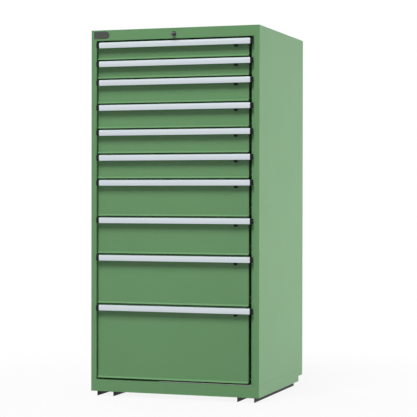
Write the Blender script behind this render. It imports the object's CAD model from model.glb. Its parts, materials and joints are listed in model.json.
import json
import math

import bmesh
import bpy
from mathutils import Matrix, Vector


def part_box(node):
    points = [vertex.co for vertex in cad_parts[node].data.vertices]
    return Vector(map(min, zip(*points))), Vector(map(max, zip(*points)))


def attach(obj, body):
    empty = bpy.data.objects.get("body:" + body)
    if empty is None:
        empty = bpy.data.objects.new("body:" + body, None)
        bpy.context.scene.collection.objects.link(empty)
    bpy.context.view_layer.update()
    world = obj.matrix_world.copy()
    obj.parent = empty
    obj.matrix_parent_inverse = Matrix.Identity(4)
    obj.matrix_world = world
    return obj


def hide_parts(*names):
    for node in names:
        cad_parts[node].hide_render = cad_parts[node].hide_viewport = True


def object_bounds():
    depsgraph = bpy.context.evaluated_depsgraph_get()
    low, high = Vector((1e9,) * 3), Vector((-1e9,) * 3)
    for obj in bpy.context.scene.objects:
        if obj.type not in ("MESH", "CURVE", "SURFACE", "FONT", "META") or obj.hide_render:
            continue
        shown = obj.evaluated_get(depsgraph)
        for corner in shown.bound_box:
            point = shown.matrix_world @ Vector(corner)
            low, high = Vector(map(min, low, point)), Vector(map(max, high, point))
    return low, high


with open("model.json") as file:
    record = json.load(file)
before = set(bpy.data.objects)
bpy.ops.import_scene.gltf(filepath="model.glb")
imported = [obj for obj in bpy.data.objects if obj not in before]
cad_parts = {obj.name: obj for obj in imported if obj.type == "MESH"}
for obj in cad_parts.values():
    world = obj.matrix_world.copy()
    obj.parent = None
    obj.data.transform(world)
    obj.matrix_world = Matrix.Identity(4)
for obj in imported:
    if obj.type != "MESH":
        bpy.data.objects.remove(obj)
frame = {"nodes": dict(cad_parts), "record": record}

# Sizes in metres, as the cabinet's own pieces are made
MM = 0.001
SAME_PLACE = 0.01 * MM
CAP_WIDTH = 12.0 * MM
CAP_SEAT = 0.2 * MM
CAP_DEPTH = 7.5 * MM
CAP_CORNER = 4.0 * MM
CAP_EDGE = 0.9 * MM
STRIP_WALL = 2.0 * MM
STRIP_BULGE = 1.2 * MM
STRIP_HEM = 3.0 * MM
STRIP_ROUND = 1.4 * MM
RAIL_PLATE = 2.0 * MM
ROLLER_WIDTH = 6.5 * MM
ROLLER_RADIUS = 10.06 * MM
ROLLER_EDGE = 0.5 * MM
ROLLER_FACE_EDGE = 0.7 * MM
ROLLER_COVER = 0.1 * MM
ROLLER_SPACE = 20.0 * MM
RING_WIRE = 0.9 * MM
DRAWERS = ["drawer_%02d" % (i + 1) for i in range(10)]

# How far the edges of the sheet and small pieces are rounded, in millimetres. A drawer's piece
# goes by the end of its name.
EDGE_WIDTHS = {
    "front_frame": 0.9, "left_side_panel": 0.6, "right_side_panel": 0.6, "top_panel": 0.7,
    "back_panel": 0.5, "base_plinth": 0.7, "latch_post": 0.5, "left_skid": 0.8, "right_skid": 0.8,
    "badge_plate": 0.6, "lock_plug": 0.3, "key": 0.4, "floor_panel": 0.4, "corner_uprights": 0.5,
    "lock_bar": 0.4, "tray": 0.5, "catch": 0.8,
}
FOLD_ANGLE = math.radians(40.0)
FOLD_STEPS = 2

cad_low, cad_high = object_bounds()
front_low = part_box("front_frame")[0]


# Camera: the photograph's own viewpoint, fitted to the cabinet's edges. Its place is given
# from the middle of the front's lower edge.
CAMERA_PLACE = Vector((2.0271, -5.5402, 0.7769))
CAMERA_YAW = 0.32748
CAMERA_PITCH = 0.00718
CAMERA_ROLL = 0.00177
FOCAL_PIXELS = 1495.1
IMAGE_PIXELS = 417.0
SENSOR_WIDTH = 36.0
CAMERA_REACH = 50.0


def make_camera():
    foot_height = front_low.z - cad_low.z
    place = CAMERA_PLACE + Vector((0.0, front_low.y, foot_height))
    forward = Vector((
        -math.sin(CAMERA_YAW) * math.cos(CAMERA_PITCH),
        math.cos(CAMERA_YAW) * math.cos(CAMERA_PITCH),
        -math.sin(CAMERA_PITCH),
    ))
    level = Vector((math.cos(CAMERA_YAW), math.sin(CAMERA_YAW), 0.0))
    upright = level.cross(forward)
    right = math.cos(CAMERA_ROLL) * level + math.sin(CAMERA_ROLL) * upright
    up = right.cross(forward)
    data = bpy.data.cameras.new("camera")
    data.sensor_width = SENSOR_WIDTH
    data.lens = SENSOR_WIDTH * FOCAL_PIXELS / IMAGE_PIXELS
    data.clip_end = CAMERA_REACH
    camera = bpy.data.objects.new("camera", data)
    turn = Matrix((right, up, -forward)).transposed()
    camera.matrix_world = Matrix.Translation(place) @ turn.to_4x4()
    bpy.context.scene.collection.objects.link(camera)
    bpy.context.scene.camera = camera


make_camera()


# Steps that the node trees share. Most values of a noise lie from NOISE_LOW to NOISE_HIGH.
NOISE_LOW = 0.3
NOISE_HIGH = 0.7


def maths(tree, operation, first, second):
    """Two values put together. The second may be a plain number."""
    node = tree.nodes.new("ShaderNodeMath")
    node.operation = operation
    tree.links.new(first, node.inputs[0])
    if isinstance(second, float):
        node.inputs[1].default_value = second
    else:
        tree.links.new(second, node.inputs[1])
    return node.outputs[0]


def stretched(tree, place, scale):
    """Object coordinates with their own scale along each axis."""
    mapping = tree.nodes.new("ShaderNodeMapping")
    mapping.inputs["Scale"].default_value = scale
    tree.links.new(place, mapping.inputs["Vector"])
    return mapping.outputs["Vector"]


def noise(tree, place, scale, detail=2.0, rough=0.5):
    texture = tree.nodes.new("ShaderNodeTexNoise")
    texture.inputs["Scale"].default_value = scale
    texture.inputs["Detail"].default_value = detail
    texture.inputs["Roughness"].default_value = rough
    tree.links.new(place, texture.inputs["Vector"])
    return texture.outputs["Fac"]


def spread(tree, value, low, high, start=NOISE_LOW, end=NOISE_HIGH):
    """A value from start to end laid out between low and high, and kept within them."""
    ranged = tree.nodes.new("ShaderNodeMapRange")
    ranged.inputs["From Min"].default_value = start
    ranged.inputs["From Max"].default_value = end
    ranged.inputs["To Min"].default_value = low
    ranged.inputs["To Max"].default_value = high
    tree.links.new(value, ranged.inputs["Value"])
    return ranged.outputs["Result"]


def bump(tree, height, strength, depth, under=None):
    """Relief of the given depth in metres, laid over another one where there is one."""
    node = tree.nodes.new("ShaderNodeBump")
    node.inputs["Strength"].default_value = strength
    node.inputs["Distance"].default_value = depth
    tree.links.new(height, node.inputs["Height"])
    if under is not None:
        tree.links.new(under, node.inputs["Normal"])
    return node.outputs["Normal"]


def two_colours(tree, value, first, second):
    """From the first colour to the second as the value of a noise goes up."""
    mix = tree.nodes.new("ShaderNodeMix")
    mix.data_type = "RGBA"
    mix.inputs["A"].default_value = (*first, 1.0)
    mix.inputs["B"].default_value = (*second, 1.0)
    tree.links.new(spread(tree, value, 0.0, 1.0), mix.inputs["Factor"])
    return mix.outputs["Result"]


# Finishes. Scales of the noise are in bumps per metre, depths in metres.
COAT_MOTTLE = 3.0
COAT_SPECKLE = 420.0
COAT_WAVE = 6.0
COAT_WAVE_DEPTH = 0.004
COAT_WAVE_STRENGTH = 0.05
COAT_PEEL = 650.0
COAT_PEEL_DEPTH = 0.0002
DRAWN_LINES = (4.0, 900.0, 900.0)
DRAWN_STRENGTH = 0.12
SCRATCHES = (60.0, 5.0, 900.0)
SCRATCH_STRENGTH = 0.06
MOULD_GRAIN = 1400.0
MOULD_GRAIN_STRENGTH = 0.15
MOULD_TONE = 40.0
FINE_DEPTH = 0.0001


def new_material(name):
    """A material with its tree, its shader and its object coordinates."""
    material = bpy.data.materials.new(name)
    material.use_nodes = True
    tree = material.node_tree
    place = tree.nodes.new("ShaderNodeTexCoord")
    return material, tree, tree.nodes["Principled BSDF"], place.outputs["Object"]


def powder_coat(name, light, dark, rough_low, rough_high, peel, gloss):
    """Powder coat: a fine orange peel over sheet that is never quite flat, with a faint mottle."""
    material, tree, shader, place = new_material(name)
    mottle = noise(tree, place, COAT_MOTTLE, 3.0)
    tree.links.new(two_colours(tree, mottle, light, dark), shader.inputs["Base Color"])
    speckle = noise(tree, place, COAT_SPECKLE)
    tree.links.new(spread(tree, speckle, rough_low, rough_high), shader.inputs["Roughness"])
    wave = bump(tree, noise(tree, place, COAT_WAVE, 1.0), COAT_WAVE_STRENGTH, COAT_WAVE_DEPTH)
    grain = bump(tree, noise(tree, place, COAT_PEEL), peel, COAT_PEEL_DEPTH, wave)
    tree.links.new(grain, shader.inputs["Normal"])
    shader.inputs["Specular IOR Level"].default_value = gloss
    return material


def anodised_aluminium(name, light, dark, rough_low, rough_high):
    """Anodised aluminium with fine lines drawn along the length of the strip."""
    material, tree, shader, place = new_material(name)
    lines = noise(tree, stretched(tree, place, DRAWN_LINES), 1.0, 3.0)
    tree.links.new(two_colours(tree, lines, light, dark), shader.inputs["Base Color"])
    tree.links.new(spread(tree, lines, rough_low, rough_high), shader.inputs["Roughness"])
    tree.links.new(bump(tree, lines, DRAWN_STRENGTH, FINE_DEPTH), shader.inputs["Normal"])
    shader.inputs["Metallic"].default_value = 1.0
    return material


def moulded_plastic(name, colour, lighter, rough_low, rough_high, gloss):
    """Black moulded plastic with a fine spark-eroded grain."""
    material, tree, shader, place = new_material(name)
    grain = noise(tree, place, MOULD_GRAIN)
    tone = noise(tree, place, MOULD_TONE)
    tree.links.new(two_colours(tree, tone, colour, lighter), shader.inputs["Base Color"])
    tree.links.new(spread(tree, grain, rough_low, rough_high), shader.inputs["Roughness"])
    tree.links.new(bump(tree, grain, MOULD_GRAIN_STRENGTH, FINE_DEPTH), shader.inputs["Normal"])
    shader.inputs["Specular IOR Level"].default_value = gloss
    return material


def plated_metal(name, light, dark, rough_low, rough_high, cloud_scale):
    """Plated steel: a metal with faint clouds and fine scratches."""
    material, tree, shader, place = new_material(name)
    cloud = noise(tree, place, cloud_scale, 4.0, 0.6)
    tree.links.new(two_colours(tree, cloud, light, dark), shader.inputs["Base Color"])
    tree.links.new(spread(tree, cloud, rough_low, rough_high), shader.inputs["Roughness"])
    scratch = noise(tree, stretched(tree, place, SCRATCHES), 1.0)
    tree.links.new(bump(tree, scratch, SCRATCH_STRENGTH, FINE_DEPTH), shader.inputs["Normal"])
    shader.inputs["Metallic"].default_value = 1.0
    return material


GREEN = powder_coat("green_powder_coat", (0.116, 0.250, 0.111), (0.110, 0.240, 0.106), 0.34, 0.44,
                    peel=0.10, gloss=0.3)
BLACK_STEEL = powder_coat("black_powder_coat", (0.010, 0.010, 0.010), (0.007, 0.007, 0.007), 0.45, 0.6,
                          peel=0.2, gloss=0.15)
ZINC = plated_metal("zinc_plate", (0.62, 0.63, 0.62), (0.50, 0.51, 0.52), 0.32, 0.45, 30.0)
ALUMINIUM = anodised_aluminium("anodised_aluminium", (0.66, 0.71, 0.75), (0.58, 0.63, 0.67), 0.42, 0.54)
BLACK_PLASTIC = moulded_plastic("black_plastic", (0.004, 0.005, 0.004), (0.008, 0.009, 0.008), 0.45, 0.58,
                                gloss=0.15)
PLATE_PLASTIC = moulded_plastic("dark_gloss_plastic", (0.040, 0.046, 0.040), (0.050, 0.056, 0.050),
                                0.16, 0.24, gloss=0.5)
ROLLER_STEEL = plated_metal("roller_steel", (0.46, 0.47, 0.46), (0.38, 0.39, 0.39), 0.28, 0.40, 60.0)
LOCK_METAL = plated_metal("dulled_nickel", (0.075, 0.085, 0.075), (0.05, 0.06, 0.05), 0.34, 0.46, 200.0)
KEY_METAL = plated_metal("worn_nickel", (0.36, 0.36, 0.34), (0.28, 0.28, 0.26), 0.26, 0.36, 200.0)

SLOT_MATERIALS = {
    "green_paint": GREEN, "black_paint": BLACK_STEEL, "zinc_steel": ZINC, "aluminium": ALUMINIUM,
    "black_plastic": BLACK_PLASTIC, "badge_plastic": PLATE_PLASTIC, "lock_metal": LOCK_METAL,
    "key_metal": KEY_METAL,
}


def paint(piece, material):
    piece.data.materials.clear()
    piece.data.materials.append(material)


def ease_edges(piece, width):
    """Round a piece's folds and edges a little, so that they catch the light."""
    weld = piece.modifiers.new("weld", "WELD")
    weld.merge_threshold = SAME_PLACE
    bevel = piece.modifiers.new("edges", "BEVEL")
    bevel.width = width
    bevel.segments = FOLD_STEPS
    bevel.limit_method = "ANGLE"
    bevel.angle_limit = FOLD_ANGLE


def dress_cad_nodes():
    """Give every carried-over node the finish of its slot, and ease the edges of those listed."""
    for entry in frame["record"]["subparts"]:
        name = entry["node"]
        piece = frame["nodes"][name]
        paint(piece, SLOT_MATERIALS[entry["material_slot"]])
        width = EDGE_WIDTHS.get(name, EDGE_WIDTHS.get(name[len("drawer_00_"):], 0.0))
        if width:
            ease_edges(piece, width * MM)


dress_cad_nodes()


# How new pieces are made. Angles of edges that stay sharp are in degrees.
ALONG_X = 0
ALONG_Y = 1
RIM_STEPS = 3
SHARP_ANGLE = 35.0
WIRE_SHARP_ANGLE = 60.0


def new_piece(name, mesh):
    """An object at the origin that shows the mesh."""
    piece = bpy.data.objects.new(name, mesh)
    bpy.context.scene.collection.objects.link(piece)
    return piece


def extruded(name, outline, axis, far, edge=0.0):
    """A closed piece from a flat outline to its copy at far on the axis, its rims eased by edge."""
    mesh = bpy.data.meshes.new(name)
    bm = bmesh.new()
    face = bm.faces.new([bm.verts.new(corner) for corner in outline])
    for item in bmesh.ops.extrude_face_region(bm, geom=[face])["geom"]:
        if isinstance(item, bmesh.types.BMVert):
            item.co[axis] = far
    bmesh.ops.recalc_face_normals(bm, faces=bm.faces)
    if edge:
        rims = [e for e in bm.edges if abs(e.verts[0].co[axis] - e.verts[1].co[axis]) < SAME_PLACE]
        bmesh.ops.bevel(bm, geom=rims, offset=edge, segments=RIM_STEPS, profile=0.5, affect="EDGES")
    bm.to_mesh(mesh)
    bm.free()
    return new_piece(name, mesh)


def smooth(piece, degrees=SHARP_ANGLE):
    """Smooth shading with sharp edges kept where faces turn more than this."""
    mesh = piece.data
    for polygon in mesh.polygons:
        polygon.use_smooth = True
    bm = bmesh.new()
    bm.from_mesh(mesh)
    for edge in bm.edges:
        sharp = len(edge.link_faces) == 2 and edge.calc_face_angle(0.0) > math.radians(degrees)
        edge.smooth = not sharp
    bm.to_mesh(mesh)
    bm.free()


# Handles: the strip and its two caps stand for the handle's node. The middle of a rounded edge
# lies in from the corner, both ways, by this part of its radius.
ROUND_MIDDLE = 0.3
FACE_STEPS = 12
ROUND_STEPS = 5
CAP_STEPS = 6


def arc_points(first, middle, last, steps):
    """Points from first to last on the circle through middle, in the plane of Y and Z."""
    y1, z1 = first
    y2, z2 = middle
    y3, z3 = last
    square1 = y1 * y1 + z1 * z1
    square2 = y2 * y2 + z2 * z2
    square3 = y3 * y3 + z3 * z3
    divisor = 2 * (y1 * (z2 - z3) + y2 * (z3 - z1) + y3 * (z1 - z2))
    y = (square1 * (z2 - z3) + square2 * (z3 - z1) + square3 * (z1 - z2)) / divisor
    z = (square1 * (y3 - y2) + square2 * (y1 - y3) + square3 * (y2 - y1)) / divisor
    radius = math.hypot(y1 - y, z1 - z)
    start = math.atan2(z1 - z, y1 - y)
    sweep = math.atan2(z3 - z, y3 - y) - start
    sweep = (sweep + math.pi) % (2 * math.pi) - math.pi
    angles = [start + sweep * i / steps for i in range(steps + 1)]
    return [(y + radius * math.cos(angle), z + radius * math.sin(angle)) for angle in angles]


def handle_outline(low, high):
    """The strip's section: a bowed face with rounded top and bottom edges, hem, web and flange."""
    face = low.y
    panel = high.y
    middle = (low.z + high.z) / 2
    shoulder = face + STRIP_BULGE
    top = high.z - STRIP_ROUND
    foot = low.z + STRIP_ROUND
    turn = ROUND_MIDDLE * STRIP_ROUND
    back = shoulder + STRIP_ROUND
    face_arc = arc_points((shoulder, top), (face, middle), (shoulder, foot), FACE_STEPS)
    top_round = arc_points((back, high.z), (shoulder + turn, high.z - turn), (shoulder, top), ROUND_STEPS)
    low_round = arc_points((shoulder, foot), (shoulder + turn, low.z + turn), (back, low.z), ROUND_STEPS)
    hem = shoulder + STRIP_HEM
    inner = shoulder + STRIP_WALL
    return top_round[:-1] + face_arc + low_round[1:] + [
        (hem, low.z),
        (hem, low.z + STRIP_WALL),
        (inner, low.z + STRIP_WALL),
        (inner, high.z - STRIP_WALL),
        (panel - STRIP_WALL, high.z - STRIP_WALL),
        (panel - STRIP_WALL, middle),
        (panel, middle),
        (panel, high.z),
    ]


def make_cap(name, low, high, side):
    """An end cap: a block with one round corner above and below, and all its edges eased."""
    half = CAP_WIDTH / 2
    middle_x = side * (high.x - half)
    outline = []
    for corner_z, start in ((high.z - CAP_CORNER, math.pi / 2), (low.z + CAP_CORNER, 0.0)):
        for i in range(CAP_STEPS + 1):
            angle = start - (math.pi / 2) * i / CAP_STEPS
            reach = half - CAP_CORNER + CAP_CORNER * math.cos(angle)
            outline.append((middle_x + side * reach, low.y, corner_z + CAP_CORNER * math.sin(angle)))
    inner_x = middle_x - side * half
    outline += [(inner_x, low.y, low.z), (inner_x, low.y, high.z)]
    return extruded(name, outline, ALONG_Y, low.y + CAP_DEPTH, CAP_EDGE)


def make_handles():
    for drawer in DRAWERS:
        node = drawer + "_handle"
        low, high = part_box(node)
        half = high.x - CAP_WIDTH - CAP_SEAT
        outline = [(-half, y, z) for y, z in handle_outline(low, high)]
        strip = extruded(node + "_strip", outline, ALONG_X, half)
        smooth(strip)
        paint(strip, ALUMINIUM)
        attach(strip, drawer)
        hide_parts(node)
        for side, word in ((-1, "left"), (1, "right")):
            cap = make_cap(node + "_cap_" + word, low, high, side)
            smooth(cap)
            paint(cap, BLACK_PLASTIC)
            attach(cap, drawer)


make_handles()


# What repeats is made with Geometry Nodes and turned into a plain mesh for each body
def new_tree(name, inputs):
    """A geometry tree with its named inputs, and the places where it starts and ends."""
    tree = bpy.data.node_groups.new(name, "GeometryNodeTree")
    tree.interface.new_socket("Geometry", in_out="INPUT", socket_type="NodeSocketGeometry")
    for label, kind in inputs:
        tree.interface.new_socket(label, in_out="INPUT", socket_type=kind)
    tree.interface.new_socket("Geometry", in_out="OUTPUT", socket_type="NodeSocketGeometry")
    return tree, tree.nodes.new("NodeGroupInput").outputs, tree.nodes.new("NodeGroupOutput")


def finish_tree(tree, geometry, given, end):
    """Realize the instances, set the material and hand the result on."""
    real = tree.nodes.new("GeometryNodeRealizeInstances")
    coat = tree.nodes.new("GeometryNodeSetMaterial")
    tree.links.new(geometry, real.inputs["Geometry"])
    tree.links.new(real.outputs["Geometry"], coat.inputs["Geometry"])
    tree.links.new(given["Material"], coat.inputs["Material"])
    tree.links.new(coat.outputs["Geometry"], end.inputs["Geometry"])


def grown(name, start_mesh, tree, values):
    """Run the tree on a mesh and give back a plain mesh object."""
    seed = new_piece(name + "_seed", start_mesh)
    modifier = seed.modifiers.new("tree", "NODES")
    modifier.node_group = tree
    for item in tree.interface.items_tree:
        if item.in_out == "INPUT" and item.name in values:
            modifier[item.identifier] = values[item.name]
    bpy.context.view_layer.update()
    ready = seed.evaluated_get(bpy.context.evaluated_depsgraph_get())
    mesh = bpy.data.meshes.new_from_object(ready)
    mesh.name = name
    seed.modifiers.clear()
    bpy.data.objects.remove(seed)
    return new_piece(name, mesh)


# Rollers: round ones with domed studs, which cover the flat-sided ones of each middle rail. The
# rollers of a row have more than ROLLER_SPACE between them. A stud's head is in millimetres, as
# (out from the roller's face, radius).
ROLLER_STEPS = 32
STUD_HEAD = [(0.0, 4.2), (0.25, 3.6), (0.5, 2.4), (0.6, 0.0)]


def roller_profile():
    """A roller from its rail outwards, as (x, radius): eased rim, face and the stud's head."""
    face = ROLLER_WIDTH + ROLLER_COVER
    rim = [
        (ROLLER_COVER, 0.0),
        (ROLLER_COVER, ROLLER_RADIUS - ROLLER_EDGE),
        (ROLLER_COVER + ROLLER_EDGE, ROLLER_RADIUS),
        (ROLLER_WIDTH - ROLLER_EDGE, ROLLER_RADIUS),
        (face, ROLLER_RADIUS - ROLLER_FACE_EDGE),
    ]
    return rim + [(face + out * MM, radius * MM) for out, radius in STUD_HEAD]


def turned_mesh(name, profile, steps):
    """A turned piece about X, from a profile of (x, radius) that starts and ends on the axis."""
    mesh = bpy.data.meshes.new(name)
    bm = bmesh.new()
    turns = [2 * math.pi * i / steps for i in range(steps)]
    rings = []
    for x, radius in profile:
        if radius == 0.0:
            rings.append([bm.verts.new((x, 0.0, 0.0))])
        else:
            rings.append([bm.verts.new((x, radius * math.cos(t), radius * math.sin(t))) for t in turns])
    for first, second in zip(rings, rings[1:]):
        for i in range(steps):
            j = (i + 1) % steps
            corners = [first[i % len(first)], first[j % len(first)]]
            corners += [second[j % len(second)], second[i % len(second)]]
            bm.faces.new(list(dict.fromkeys(corners)))
    bmesh.ops.recalc_face_normals(bm, faces=bm.faces)
    bm.to_mesh(mesh)
    bm.free()
    return mesh


def points_mesh(name, places, turns):
    """Loose points, each with the turn about Z that its copy gets."""
    mesh = bpy.data.meshes.new(name)
    mesh.from_pydata(places, [], [])
    turn = mesh.attributes.new("turn", "FLOAT", "POINT")
    for item, value in zip(turn.data, turns):
        item.value = value
    return mesh


def make_roller_tree():
    """A copy of the roller at each point, turned about Z by the point's own turn."""
    inputs = [("Roller", "NodeSocketObject"), ("Material", "NodeSocketMaterial")]
    tree, given, end = new_tree("rollers", inputs)
    shape = tree.nodes.new("GeometryNodeObjectInfo")
    shape.inputs["As Instance"].default_value = True
    place = tree.nodes.new("GeometryNodeInstanceOnPoints")
    turn = tree.nodes.new("GeometryNodeInputNamedAttribute")
    turn.data_type = "FLOAT"
    turn.inputs["Name"].default_value = "turn"
    around = tree.nodes.new("ShaderNodeCombineXYZ")
    tree.links.new(given["Roller"], shape.inputs["Object"])
    tree.links.new(given["Geometry"], place.inputs["Points"])
    tree.links.new(shape.outputs["Geometry"], place.inputs["Instance"])
    tree.links.new(turn.outputs["Attribute"], around.inputs["Z"])
    tree.links.new(around.outputs["Vector"], place.inputs["Rotation"])
    finish_tree(tree, place.outputs["Instances"], given, end)
    return tree


def roller_places(node):
    """Where a middle rail's rollers are, from the points on their outer and inner faces."""
    low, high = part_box(node)
    middle_z = (low.z + high.z) / 2
    inner_x = high.x - 2 * ROLLER_WIDTH - RAIL_PLATE
    found = {}
    for vertex in frame["nodes"][node].data.vertices:
        x, y, z = vertex.co
        if abs(abs(x) - high.x) < SAME_PLACE or abs(abs(x) - inner_x) < SAME_PLACE:
            found.setdefault(round(x, 4), []).append(y)
    places = []
    for x, ys in sorted(found.items()):
        ys.sort()
        breaks = [(a, b) for a, b in zip(ys, ys[1:]) if b - a > ROLLER_SPACE]
        starts = [ys[0]] + [b for a, b in breaks]
        ends = [a for a, b in breaks] + [ys[-1]]
        places += [(x, (start + last) / 2, middle_z) for start, last in zip(starts, ends)]
    return places


def make_rollers():
    tree = make_roller_tree()
    pattern = new_piece("roller_pattern", turned_mesh("roller_pattern", roller_profile(), ROLLER_STEPS))
    for drawer in DRAWERS:
        node = drawer + "_mid_rails"
        low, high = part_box(node)
        plate_middle = high.x - ROLLER_WIDTH - RAIL_PLATE / 2
        places = []
        turns = []
        for x, y, z in roller_places(node):
            outward = 1 if abs(x) > plate_middle else -1
            side = 1 if x > 0 else -1
            places.append((side * (plate_middle + outward * RAIL_PLATE / 2), y, z))
            turns.append(0.0 if side * outward > 0 else math.pi)
        points = points_mesh(node + "_places", places, turns)
        piece = grown(node + "_rollers", points, tree, {"Roller": pattern, "Material": ROLLER_STEEL})
        smooth(piece)
        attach(piece, node)
    bpy.data.objects.remove(pattern)


make_rollers()


# Key ring
RING_TURNS = 2.0
RING_STEPS = 48
WIRE_STEPS = 12


def make_key_ring():
    """A split ring: two turns of round wire side by side, through the hole in the key's bow."""
    tree, given, end = new_tree("split_ring", [
        ("Radius", "NodeSocketFloat"), ("Wire", "NodeSocketFloat"), ("Place", "NodeSocketVector"),
        ("Material", "NodeSocketMaterial")])
    coil = tree.nodes.new("GeometryNodeCurveSpiral")
    coil.inputs["Resolution"].default_value = RING_STEPS
    coil.inputs["Rotations"].default_value = RING_TURNS
    wire = tree.nodes.new("GeometryNodeCurvePrimitiveCircle")
    wire.inputs["Resolution"].default_value = WIRE_STEPS
    sweep = tree.nodes.new("GeometryNodeCurveToMesh")
    sweep.inputs["Fill Caps"].default_value = True
    lower = tree.nodes.new("ShaderNodeCombineXYZ")
    centre = tree.nodes.new("GeometryNodeTransform")
    stand = tree.nodes.new("GeometryNodeTransform")
    stand.inputs["Rotation"].default_value = (math.pi / 2, 0.0, 0.0)
    links = tree.links
    links.new(given["Radius"], coil.inputs["Start Radius"])
    links.new(given["Radius"], coil.inputs["End Radius"])
    links.new(given["Wire"], coil.inputs["Height"])
    links.new(maths(tree, "MULTIPLY", given["Wire"], 0.5), wire.inputs["Radius"])
    links.new(maths(tree, "MULTIPLY", given["Wire"], -0.5), lower.inputs["Z"])
    links.new(coil.outputs["Curve"], sweep.inputs["Curve"])
    links.new(wire.outputs["Curve"], sweep.inputs["Profile Curve"])
    links.new(sweep.outputs["Mesh"], centre.inputs["Geometry"])
    links.new(lower.outputs["Vector"], centre.inputs["Translation"])
    links.new(centre.outputs["Geometry"], stand.inputs["Geometry"])
    links.new(given["Place"], stand.inputs["Translation"])
    finish_tree(tree, stand.outputs["Geometry"], given, end)
    low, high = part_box("key_ring")
    radius = (high.z - low.z) / 2 - RING_WIRE
    ring = grown("split_ring", bpy.data.meshes.new("split_ring_start"), tree, {
        "Radius": radius, "Wire": RING_WIRE, "Place": tuple((low + high) / 2), "Material": KEY_METAL})
    smooth(ring, WIRE_SHARP_ANGLE)
    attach(ring, "lock")
    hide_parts("key_ring")


make_key_ring()


# Stage: a pale floor that fades into a white background, with the cabinet's shadow kept
FLOOR_REACH = 14.0
FLOOR_GREY = 0.45
FLOOR_ROUGHNESS = 0.8
FLOOR_WHITE = 0.9
FADE_START = 0.5
FADE_END = 1.9
WHITE = (1.0, 1.0, 1.0, 1.0)
WORLD_LIGHT = 0.05
SHOWN_LIGHT = 1.0


def seen_rays(tree):
    """One where the camera, gloss or clear material looks, and zero where light is worked out."""
    rays = tree.nodes.new("ShaderNodeLightPath").outputs
    looked = maths(tree, "MAXIMUM", rays["Is Camera Ray"], rays["Is Glossy Ray"])
    return maths(tree, "MAXIMUM", looked, rays["Is Transmission Ray"])


def mixed(tree, share, first, second, end):
    """Two shaders mixed by the share and led to the end."""
    mix = tree.nodes.new("ShaderNodeMixShader")
    tree.links.new(share, mix.inputs[0])
    tree.links.new(first, mix.inputs[1])
    tree.links.new(second, mix.inputs[2])
    tree.links.new(mix.outputs[0], end)


def make_stage():
    mesh = bpy.data.meshes.new("floor")
    bm = bmesh.new()
    corners = ((-1, -1), (1, -1), (1, 1), (-1, 1))
    bm.faces.new([bm.verts.new((x * FLOOR_REACH, y * FLOOR_REACH, 0.0)) for x, y in corners])
    bm.to_mesh(mesh)
    bm.free()
    floor = new_piece("floor", mesh)
    material, tree, shader, place = new_material("pale_floor")
    shader.inputs["Base Color"].default_value = (FLOOR_GREY, FLOOR_GREY, FLOOR_GREY, 1.0)
    shader.inputs["Roughness"].default_value = FLOOR_ROUGHNESS
    white = tree.nodes.new("ShaderNodeEmission")
    away = tree.nodes.new("ShaderNodeVectorMath")
    away.operation = "LENGTH"
    tree.links.new(place, away.inputs[0])
    share = spread(tree, away.outputs["Value"], FLOOR_WHITE, 1.0, FADE_START, FADE_END)
    mixed(tree, maths(tree, "MULTIPLY", share, seen_rays(tree)), shader.outputs[0], white.outputs[0],
          tree.nodes["Material Output"].inputs["Surface"])
    paint(floor, material)


def make_world():
    """Little light from all round, and a white background wherever it shows."""
    world = bpy.data.worlds.new("studio")
    bpy.context.scene.world = world
    world.use_nodes = True
    tree = world.node_tree
    soft = tree.nodes["Background"]
    shown = tree.nodes.new("ShaderNodeBackground")
    for background, strength in ((soft, WORLD_LIGHT), (shown, SHOWN_LIGHT)):
        background.inputs["Color"].default_value = WHITE
        background.inputs["Strength"].default_value = strength
    mixed(tree, seen_rays(tree), soft.outputs[0], shown.outputs[0],
          tree.nodes["World Output"].inputs["Surface"])


def make_lamp(name, place, target, size, power, gleams=False):
    """A soft square lamp, sizes in metres and power in watts. Gloss shows it only where it gleams."""
    data = bpy.data.lights.new(name, "AREA")
    data.shape = "SQUARE"
    data.size = size
    data.energy = power
    lamp = bpy.data.objects.new(name, data)
    lamp.visible_glossy = gleams
    lamp.location = place
    lamp.rotation_euler = (Vector(target) - Vector(place)).to_track_quat("-Z", "Y").to_euler()
    bpy.context.scene.collection.objects.link(lamp)


# The lamp above is in two, and only the weaker part gleams, so that the handles keep their grey
ABOVE = (-1.2, -8.3, 13.2)
FRONT_MIDDLE = (0.0, -0.3, 0.75)
ABOVE_SIZE = 6.0

make_stage()
make_world()
make_lamp("lamp_above", ABOVE, FRONT_MIDDLE, ABOVE_SIZE, 2150.0)
make_lamp("lamp_gleam", ABOVE, FRONT_MIDDLE, ABOVE_SIZE, 800.0, gleams=True)
make_lamp("lamp_right", (3.6, 0.1, 0.4), (0.35, 0.05, 0.55), 1.6, 146.0)
make_lamp("lamp_behind", (-4.4, 4.4, 3.4), (0.0, 0.1, 0.8), 3.0, 330.0)

bpy.context.scene.view_settings.view_transform = "Standard"
